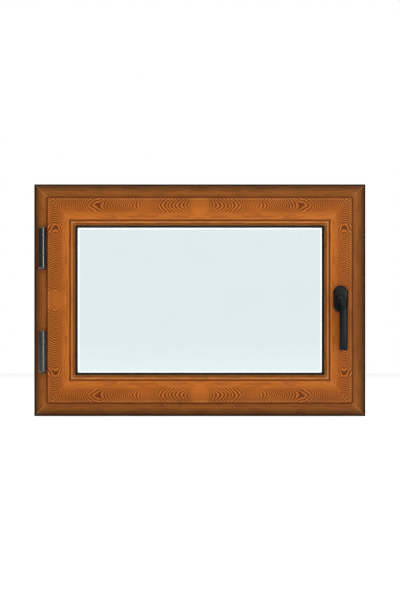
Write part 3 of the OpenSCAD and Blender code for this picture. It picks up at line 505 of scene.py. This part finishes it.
bead_start, bead_end, bead_flat = 87.05, 100.5, 93.4
bead_outline = section_outline([
    (bead_start, -18.2, 0.3), (bead_start, -31, 0.9), (bead_flat, -31, 1.6),
    (bead_end, -28, 1.0), (bead_end, -18, 0.3),
])
# Colour of the coating by u, with painted light in it: painted shade in the groove at the sash, a
# painted highlight along the bead's rounded edge, and painted shade darkening down the slope to the
# glass
bead_tone_and_shade = [
    (86, (96, 42, 3)), (88.2, (110, 50, 6)), (89.4, (156, 93, 45)), (91.2, (182, 117, 68)),
    (93.0, (178, 112, 64)), (94.2, (116, 58, 14)), (95.6, (122, 64, 18)), (97.4, (130, 79, 34)),
    (99.4, (104, 66, 33)), (101.2, (50, 26, 10)), (104, (50, 28, 14)),
]
bead_woods = {
    size: wood_coating("bead_coating_" + size, SIDES[side][3], bead_tone_and_shade, 75.0, seed,
                       figure=0.2, gloss=0.38, seam=(88.0, 90.0, 0.5), face_end=100)
    for size, side, seed in (("rail", "head", 8.1), ("stile", "lock", 9.4))
}
for node, side, size in (("bead_top", "head", "rail"), ("bead_bottom", "sill", "rail"),
                         ("bead_hinge_side", "hinge", "stile"), ("bead_lock_side", "lock", "stile")):
    shell = sweep_shell(bead_outline, *SIDES[side], ref=2)
    bead = make_piece(node + "_strip", shell, bead_woods[size])
    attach(bead, "sash")
    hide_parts(node)

# Seals -----------------------------------------------------------------------------------
# Black rubber, extruded and joined at the corners. The inner one shows as a thin line between
# the bead and the glass, and thins to a lip that lies on the pane.

seal = Finish("seal_rubber")
spot = seal.node("ShaderNodeTexCoord", None, None, out=3)
dust = seal.noise(spot, scale=900.0, detail=3.0)
bloom = seal.noise(spot, scale=35.0, detail=2.0)
seal.surface(seal.node("ShaderNodeBsdfPrincipled", None, {
    "Base Color": seal.blend(bloom * 0.6, paint(12, 8, 8), paint(24, 18, 18)),
    "Roughness": 0.55 + 0.2 * bloom,
    "Specular IOR Level": 0.3,
    "Normal": seal.node("ShaderNodeBump", None,
                        {"Strength": 0.4, "Distance": 0.05 * MM, "Height": dust}),
}))
lip_outline = section_outline([
    (98.7, -14, 0.2), (98.7, -18, 0.3), (bead_end, -18, 0.2), (bead_end, -18.7, 0.3),
    (105.2, -15.3, 0.5), (105.2, -14, 0.2),
])
lip_ring = join_shells([sweep_shell(lip_outline, *side, ease=0.02 * MM) for side in SIDES.values()])
glazing_lip = make_piece("glazing_lip_seal", lip_ring, seal)
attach(glazing_lip, "sash")
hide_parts("glazing_gasket_inner")


def coat_nodes(finish, *names):
    """Gives CAD nodes a finish through their own material slots."""
    for name in names:
        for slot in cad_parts[name].material_slots:
            slot.material = finish.material


coat_nodes(seal, "glazing_gasket_outer", "sash_overlap_gasket", "frame_rebate_gasket")

# Sealed glass unit -----------------------------------------------------------------------
# Two float panes with ground edges, held apart by a bent light-coloured spacer bar that has a
# row of fine holes towards the cavity, and sealed round the edge with black sealant.


def pane_shell(y_near, y_far, edge=0.5 * MM):
    """A flat pane with ground edges: four rectangles from the near face to the far one, the
    first and last drawn in by edge, and three bands of four flat faces between them."""
    low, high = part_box("glass_inner_pane")
    inset = np.array([edge, 0, 0, edge])[:, None]
    y = np.array([y_near, y_near + edge, y_far - edge, y_far])[:, None]
    x = np.array([low.x, high.x, high.x, low.x]) + inset * np.array([1, -1, -1, 1])
    z = np.array([low.z, low.z, high.z, high.z]) + inset * np.array([1, 1, -1, -1])
    points = np.stack([x, y + 0 * x, z], axis=-1)
    band, side = np.divmod(np.arange(12), 4)
    after = (side + 1) % 4
    quads = np.stack([points[band, side], points[band + 1, side], points[band + 1, after],
                      points[band, after]], axis=1)
    normals = np.cross(quads[:, 1] - quads[:, 0], quads[:, 3] - quads[:, 0])
    normals /= np.linalg.norm(normals, axis=1, keepdims=True)
    edges = {"points": quads.reshape(-1, 3), "loops": np.arange(48), "sizes": np.full(12, 4),
             "normals": np.repeat(normals, 4, axis=0), "grain": np.zeros((48, 2))}
    return join_shells([edges, face_shell(points[0], -Y), face_shell(points[3], Y, flip=True)])


def glass_finish(name, through):
    """Float glass: mirrors more at a slant, 0.01 + 0.9 * facing^5, tints what is seen through
    it, and holds a trace of dust."""
    f = Finish(name)
    spot = f.node("ShaderNodeTexCoord", None, None, out=3)
    haze = f.step(f.noise(spot, scale=9.0, detail=4.0), 0.45, 0.8)
    clear = f.node("ShaderNodeBsdfTransparent", None, {"Color": through})
    mirror = f.node("ShaderNodeBsdfPrincipled", None, {
        "Base Color": paint(236, 244, 244), "Metallic": 1.0, "Roughness": 0.02 + 0.03 * haze})
    facing = f.node("ShaderNodeLayerWeight", None, {"Blend": 0.5}, out=1)
    amount = 0.01 + facing.math("POWER", facing, 5.0) * 0.9 + haze * 0.003
    f.surface(f.node("ShaderNodeMixShader", None, {0: amount, 1: clear, 2: mirror}))
    return f


for node, through in (("glass_inner_pane", (0.961, 0.968, 0.968, 1)),
                      ("glass_outer_pane", (0.915, 0.966, 0.966, 1))):
    low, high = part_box(node)
    pane = make_piece(node + "_float", pane_shell(low.y, high.y), glass_finish(node, through))
    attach(pane, "sash")
    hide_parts(node)

spacer_bar = Finish("spacer_bar")
place = spacer_bar.node("ShaderNodeUVMap", {"uv_map": "grain"})
along = spacer_bar.node("ShaderNodeSeparateXYZ", None, {0: place}, out=0)
across = spacer_bar.node("ShaderNodeSeparateXYZ", None, {0: place}, out=1)
hole_pitch, hole_line, hole_radius, hole_edge = 3 * MM, 115.5 * MM, 0.35 * MM, 0.5 * MM
count = along / hole_pitch
beat = abs(count.math("FRACT", count) - 0.5) * hole_pitch
off = abs(across - hole_line)
reach = beat * beat + off * off
hole = 1 - spacer_bar.step(reach.math("SQRT", reach), hole_radius, hole_edge)
rolled = spacer_bar.noise(spacer_bar.vector(along * 40, across * 1800), detail=2.0)
spacer_bar.surface(spacer_bar.node("ShaderNodeBsdfPrincipled", None, {
    "Base Color": spacer_bar.blend(hole, paint(250, 252, 252), paint(60, 60, 60)),
    "Roughness": 0.4 + 0.2 * rolled,
    # The emission is painted light: the bar glows so that it shows bright white in the recess behind
    # the bead, where little lamp light reaches it
    "Emission Color": (0.9, 1, 1, 1),
    "Emission Strength": 0.65,
    "Normal": spacer_bar.node("ShaderNodeBump", None, {
        "Strength": 0.3, "Distance": 0.05 * MM, "Height": rolled - hole}),
}))
spacer_outer, spacer_inner, spacer_far, spacer_near = 100.5, 107.5, 6, -10
spacer_outline = section_outline([
    (spacer_outer, spacer_far, 0.4), (spacer_outer, spacer_near, 0.4),
    (spacer_inner, spacer_near, 0.6), (spacer_inner, spacer_far, 0.6),
])
spacer_ring = join_shells([sweep_shell(spacer_outline, *side, ease=0.01 * MM, ref=1)
                           for side in SIDES.values()])
spacer = make_piece("spacer_bar_ring", spacer_ring, spacer_bar)
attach(spacer, "sash")
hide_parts("glass_spacer")

coat_nodes(seal, "glass_edge_sealant")

# Fittings inside the profiles ------------------------------------------------------------
# Nylon blocks, guides and bushes, die-cast alloy cleats, clamps and gear case, and
# zinc-plated steel for the keepers, pins, screws, pinion, spindle, drive rod and cams.


def speckled_finish(name, first, second, rough, metal, scale, relief):
    """A plain hard surface: two tones and a fine relief, both by noise on the object's place."""
    f = Finish(name)
    spot = f.node("ShaderNodeTexCoord", None, None, out=3)
    fine = f.noise(spot, scale=scale, detail=3.0)
    broad = f.noise(spot, scale=scale / 18, detail=2.0)
    f.surface(f.node("ShaderNodeBsdfPrincipled", None, {
        "Base Color": f.blend(f.step(0.6 * fine + 0.4 * broad, 0.38, 0.62), first, second),
        "Roughness": rough + 0.15 * broad,
        "Metallic": metal,
        "Normal": f.node("ShaderNodeBump", None,
                         {"Strength": 0.4, "Distance": relief, "Height": fine}),
    }))
    return f


grey_nylon = speckled_finish("grey_nylon", paint(70, 72, 74), paint(86, 88, 90),
                             rough=0.5, metal=0.0, scale=1500, relief=0.04 * MM)
cast_alloy = speckled_finish("cast_alloy", paint(160, 162, 165), paint(190, 192, 194),
                             rough=0.45, metal=1.0, scale=1100, relief=0.06 * MM)
zinc_steel = speckled_finish("zinc_steel", paint(172, 174, 176), paint(200, 200, 196),
                             rough=0.3, metal=1.0, scale=700, relief=0.02 * MM)
coat_nodes(grey_nylon, "setting_blocks", "hinge_bushes", "rod_guides", "handle_base",
           "handle_detent_ring")
coat_nodes(cast_alloy, "frame_corner_cleats", "sash_corner_cleats", "hinge_frame_clamps",
           "hinge_sash_clamps", "lock_gear_case", "lock_gear_cover")
coat_nodes(zinc_steel, "keeper_upper", "keeper_lower", "keeper_screws", "upper_hinge_pin",
           "lower_hinge_pin", "hinge_frame_screws", "hinge_sash_screws", "handle_screws",
           "gear_case_screws", "handle_spindle", "lock_pinion", "handle_retaining_clip",
           "drive_rod", "locking_cam_upper", "locking_cam_lower")

# Barrel hinges ---------------------------------------------------------------------------
# Die-cast knuckles in semi-gloss black powder on a steel pin. The outer two are one casting
# with the frame leaf, the middle one with the sash leaf, and a cap closes the top.

hinge_black = Finish("hinge_black")
spot = hinge_black.node("ShaderNodeTexCoord", None, None, out=3)
orange_peel = hinge_black.noise(spot, scale=700.0, detail=2.0)
smear = hinge_black.noise(spot, scale=60.0, detail=2.0)
hinge_black.surface(hinge_black.node("ShaderNodeBsdfPrincipled", None, {
    "Base Color": hinge_black.blend(smear, paint(5, 5, 6), paint(10, 11, 12)),
    "Roughness": 0.17 + 0.08 * smear,
    "Specular IOR Level": 0.85,
    "Normal": hinge_black.node("ShaderNodeBump", None,
                               {"Strength": 0.12, "Distance": 0.03 * MM, "Height": orange_peel}),
}))
coat_nodes(hinge_black, "upper_hinge_frame_leaf", "lower_hinge_frame_leaf", "hinge_top_caps",
           "upper_hinge_sash_leaf", "lower_hinge_sash_leaf")

# Handle ----------------------------------------------------------------------------------
# A die-cast lever and a snap-on oval cover, both in satin slate-black powder. The lever's
# round head sits on a neck that turns in the cover, and its grip is set off to one side.

handle_black = Finish("handle_black")
spot = handle_black.node("ShaderNodeTexCoord", None, None, out=3)
powder = handle_black.noise(spot, scale=1400.0, detail=2.0)
touch = handle_black.noise(spot, scale=28.0, detail=3.0)
handle_black.surface(handle_black.node("ShaderNodeBsdfPrincipled", None, {
    "Base Color": handle_black.blend(touch, paint(6, 7, 10), paint(12, 14, 19)),
    "Roughness": 0.25 + 0.1 * touch,
    "Specular IOR Level": 0.15,
    "Normal": handle_black.node("ShaderNodeBump", None,
                                {"Strength": 0.35, "Distance": 0.05 * MM, "Height": powder}),
}))


def surface_normals(points, close_rows=False):
    """Normals of a grid from the differences between its neighbours, closed along its
    columns. A pole, where a row shrinks to a point, takes the mean of the row beside it."""
    along = np.gradient(points, axis=0)
    if close_rows:
        along = (np.roll(points, -1, axis=0) - np.roll(points, 1, axis=0)) / 2
    round_it = (np.roll(points, -1, axis=1) - np.roll(points, 1, axis=1)) / 2
    normal = np.cross(round_it, along)
    if not close_rows:
        normal[0] = normal[1].mean(0)
        normal[-1] = normal[-2].mean(0)
    return normal / np.maximum(np.linalg.norm(normal, axis=-1, keepdims=True), 1e-12)


def lathe_shell(outline, centre, axis, spoke, steps=64):
    """A closed section (radius, height) turned about an axis through centre."""
    section, outward = outline
    turn = np.linspace(0, 2 * np.pi, steps, endpoint=False)[:, None, None]
    third = np.cross(axis, spoke)
    ray = np.cos(turn) * spoke + np.sin(turn) * third
    radius = np.where(section[:, :1] < 0.02 * MM, 0, section[:, :1])
    points = centre + radius * ray + section[:, 1:] * axis
    normals = outward[:, :1] * ray + outward[:, 1:] * axis
    return grid_shell(points, normals, close_rows=True, flip=True)


OUT = -Y
lever_low, lever_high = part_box("handle_lever")
cover_low, cover_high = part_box("handle_cover")
pivot = np.array([(cover_low.x + cover_high.x) / 2, cover_high.y, (cover_low.z + cover_high.z) / 2])
half_grip = 10.25  # millimetres; the lever's box is wider, because it holds the neck too
grip_x = lever_high.x - half_grip * MM


def lever_shell():
    """The lever as rounded sections up its height k. Half width w is a half circle at the head
    and a corner arc at the tip; the front stands 52 - 16 exp((k - 9) / 12) off the sash and the
    back 41 - 13 exp((k + 8) / 11), both less towards the tip, where the grip thins. Each
    section is a superellipse |x / w|^3.4 + |p / t|^3.4 = 1."""
    top, wide, squareness = 9.0, half_grip, 3.4
    tip_length, tip_drop, tip_round, head_round = 4, 3.2, 2.4, 4.5
    tip = (lever_low.z - pivot[2]) / MM
    dip = 1 - np.cos(np.linspace(0, np.pi / 2, 16))
    curl = np.sin(np.linspace(0, np.pi / 2, 9))
    k = np.concatenate([top - wide * dip, np.linspace(top - wide, tip + tip_length, 40)[1:],
                        tip + tip_length - tip_length * curl[1:]])
    w = wide * np.sqrt(np.clip(1 - np.clip((k - top + wide) / wide, 0, 1) ** 2, 0, 1))
    into_tip = np.clip((tip + tip_length - k) / tip_length, 0, 1)
    w = np.where(into_tip > 0, wide - tip_drop + tip_drop * np.sqrt(1 - into_tip ** 2), w)
    thinning = np.clip((-70 - k) / 55, 0, 1) ** 2
    front = 52 - 16 * np.exp((k - 9) / 12) - 2.5 * thinning
    back = 41 - 13 * np.minimum(1, np.exp((k + 8) / 11)) - thinning
    into_top = np.clip(k - top + head_round, 0, head_round)
    round_top = head_round - np.sqrt(head_round ** 2 - into_top ** 2)
    round_tip = tip_round * (1 - np.sqrt(1 - into_tip ** 2))
    front = front - 0.75 * round_top - round_tip
    back = back + 0.35 * round_top + round_tip
    mid, thick = (front + back) / 2, (front - back) / 2

    # Both ends close in a point
    k = np.append(k, k[-1])
    mid = np.append(mid, mid[-1])
    w = np.concatenate([[0], w[1:], [0]])
    thick = np.concatenate([[0], thick[1:], [0]])
    turn = np.linspace(0, 2 * np.pi, 48, endpoint=False)
    power = 2 / squareness
    side = np.sign(np.cos(turn)) * np.abs(np.cos(turn)) ** power
    face = np.sign(np.sin(turn)) * np.abs(np.sin(turn)) ** power
    x = grip_x + w[:, None] * side * MM
    p = (mid[:, None] + thick[:, None] * face) * MM
    z = pivot[2] + k[:, None] * MM + 0 * x
    points = x[..., None] * X + p[..., None] * OUT + z[..., None] * Z
    points[..., 1] += pivot[1]
    return grid_shell(points, surface_normals(points))


neck_radius, neck_foot, neck_top, at_axis = 10, 4.3, 33, 0.001
neck_outline = section_outline([(at_axis, neck_foot, at_axis / 2), (neck_radius, neck_foot, 0.4),
                                (neck_radius, neck_top, 1.2), (at_axis, neck_top, at_axis / 2)])
neck = lathe_shell(neck_outline, pivot, OUT, X)
lever = make_piece("handle_lever_casting", join_shells([lever_shell(), neck]), handle_black)
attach(lever, "handle")
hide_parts("handle_lever")


def cover_shell(rim=4.0, wall=1.6, hole=10.3, count=24):
    """The oval cover as closed rings: up the side, over the rounded rim, across the slightly
    crowned top to the hole, and back down inside. A ring is a half circle at each end with the
    straight sides between; on the top it turns from that oval into the hole's circle."""
    radius = (cover_high.x - cover_low.x) / 2 / MM
    rise = (cover_high.y - cover_low.y) / MM
    straight = (cover_high.z - cover_low.z) / 2 / MM - radius
    turn = np.concatenate([np.linspace(0, np.pi, count), np.linspace(np.pi, 2 * np.pi, count)])
    shift = np.repeat([straight, -straight], count)
    bend = np.linspace(0, np.pi / 2, 8)
    fade = np.array([0.3, 0.6, 0.9, 0.985, 1.0])  # how far a ring has turned into the hole
    crown, outer_rings = 0.35, 15
    inner = rim - wall
    inset = np.concatenate([[0, 0, 0], rim * (1 - np.cos(bend[1:])), rim + 0 * fade, [rim] * 3,
                            rim + 0 * fade, wall + inner * (1 - np.cos(bend[::-1][1:])), [wall]])
    height = np.concatenate([[0, 0.4, rise - rim], rise - rim + rim * np.sin(bend[1:]),
                             rise + 0 * fade, [rise - 0.4, rise - wall + 0.2, rise - wall],
                             rise - wall + 0 * fade, rise - rim + inner * np.sin(bend[::-1][1:]),
                             [0]])
    to_hole = np.concatenate([[0] * 10, fade, [1] * 3, fade[::-1] * 0.98, [0] * 8])
    sag = crown * (1 - to_hole) * (np.arange(len(inset)) < outer_rings)
    ring = (radius - inset)[:, None]
    x = ring * np.cos(turn) * (1 - to_hole[:, None]) + hole * np.cos(turn) * to_hole[:, None]
    z = (ring * np.sin(turn) + shift) * (1 - to_hole[:, None]) + hole * np.sin(turn) * to_hole[:, None]
    p = np.clip(height - sag, 0, rise)[:, None] + 0 * x
    points = pivot + MM * (x[..., None] * X + z[..., None] * Z + p[..., None] * OUT)
    return grid_shell(points, surface_normals(points, close_rows=True), close_rows=True)


cover = make_piece("handle_cover_oval", cover_shell(), handle_black)
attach(cover, "sash")
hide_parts("handle_cover")

# Caps on the frame -----------------------------------------------------------------------
# Push-in plastic caps over the wall fixings and the drain slots, moulded in the brown of the
# coating. They keep their CAD shapes.

coating_cap = speckled_finish("coating_cap", paint(104, 60, 26), paint(128, 76, 34),
                              rough=0.4, metal=0.0, scale=600, relief=0.03 * MM)
coat_nodes(coating_cap, "frame_anchor_caps", "frame_drain_caps")

# Studio ----------------------------------------------------------------------------------
# A white floor, a surround that is white to the camera and dim as a light, and large soft
# lamps in front and overhead. The camera looks square at the window's middle.

floor_mesh = bpy.data.meshes.new("studio_floor")
floor_mesh.from_pydata([(-6, -9, 0), (6, -9, 0), (6, 3.5, 0), (-6, 3.5, 0)], [], [(0, 1, 2, 3)])
floor_finish = Finish("studio_floor")
floor_finish.surface(floor_finish.node("ShaderNodeBsdfPrincipled", None, {
    "Base Color": (0.9, 0.9, 0.9, 1),
    "Roughness": 0.9,
    "Specular IOR Level": 0.0,
    "Emission Color": (1, 1, 1, 1),
    "Emission Strength": 0.35,
}))
floor_mesh.materials.append(floor_finish.material)
floor = bpy.data.objects.new("studio_floor", floor_mesh)
bpy.context.scene.collection.objects.link(floor)

world = bpy.data.worlds.new("studio")
bpy.context.scene.world = world
world.use_nodes = True
tree = world.node_tree
tree.nodes.clear()
seen = tree.nodes.new("ShaderNodeLightPath")
dim = 0.14  # the surround's strength as a light; to the camera it is 1
shine = tree.nodes.new("ShaderNodeMath")
shine.operation = "MULTIPLY_ADD"
shine.inputs[1].default_value = 1 - dim
shine.inputs[2].default_value = dim
surround = tree.nodes.new("ShaderNodeBackground")
surround.inputs[0].default_value = (1, 1, 1, 1)
end = tree.nodes.new("ShaderNodeOutputWorld")
tree.links.new(seen.outputs["Is Camera Ray"], shine.inputs[0])
tree.links.new(shine.outputs[0], surround.inputs[1])
tree.links.new(surround.outputs[0], end.inputs[0])


def soft_lamp(name, place, aim, size_x, size_y, power):
    """An area lamp at place, turned to face aim."""
    lamp = bpy.data.lights.new(name, "AREA")
    lamp.shape = "RECTANGLE"
    lamp.size, lamp.size_y = size_x, size_y
    lamp.energy = power
    holder = bpy.data.objects.new(name, lamp)
    bpy.context.scene.collection.objects.link(holder)
    holder.location = place
    holder.rotation_euler = (Vector(aim) - Vector(place)).to_track_quat("-Z", "Y").to_euler()


middle = (0, -0.03, 0.28)
soft_lamp("key_softbox", (-1.3, -4.6, 3.0), middle, 2.6, 1.6, 44)
soft_lamp("fill_softbox", (1.7, -4.4, 2.6), middle, 2.0, 1.6, 34)
soft_lamp("ceiling", (0, -0.5, 4.5), (0, -0.5, 0), 8, 8, 300)
soft_lamp("low_panel", (2.0, -5.8, 0.52), (-0.37, 0, 0.3), 2.0, 1.0, 64)

camera = bpy.data.cameras.new("camera")
camera.lens = 150
camera.sensor_width = 36
camera.clip_end = 100
viewer = bpy.data.objects.new("camera", camera)
bpy.context.scene.collection.objects.link(viewer)
viewer.location = (0.0005, -6.058, 0.2805)
viewer.rotation_euler = (math.pi / 2, 0, 0)
bpy.context.scene.camera = viewer
bpy.context.scene.view_settings.view_transform = "Standard"
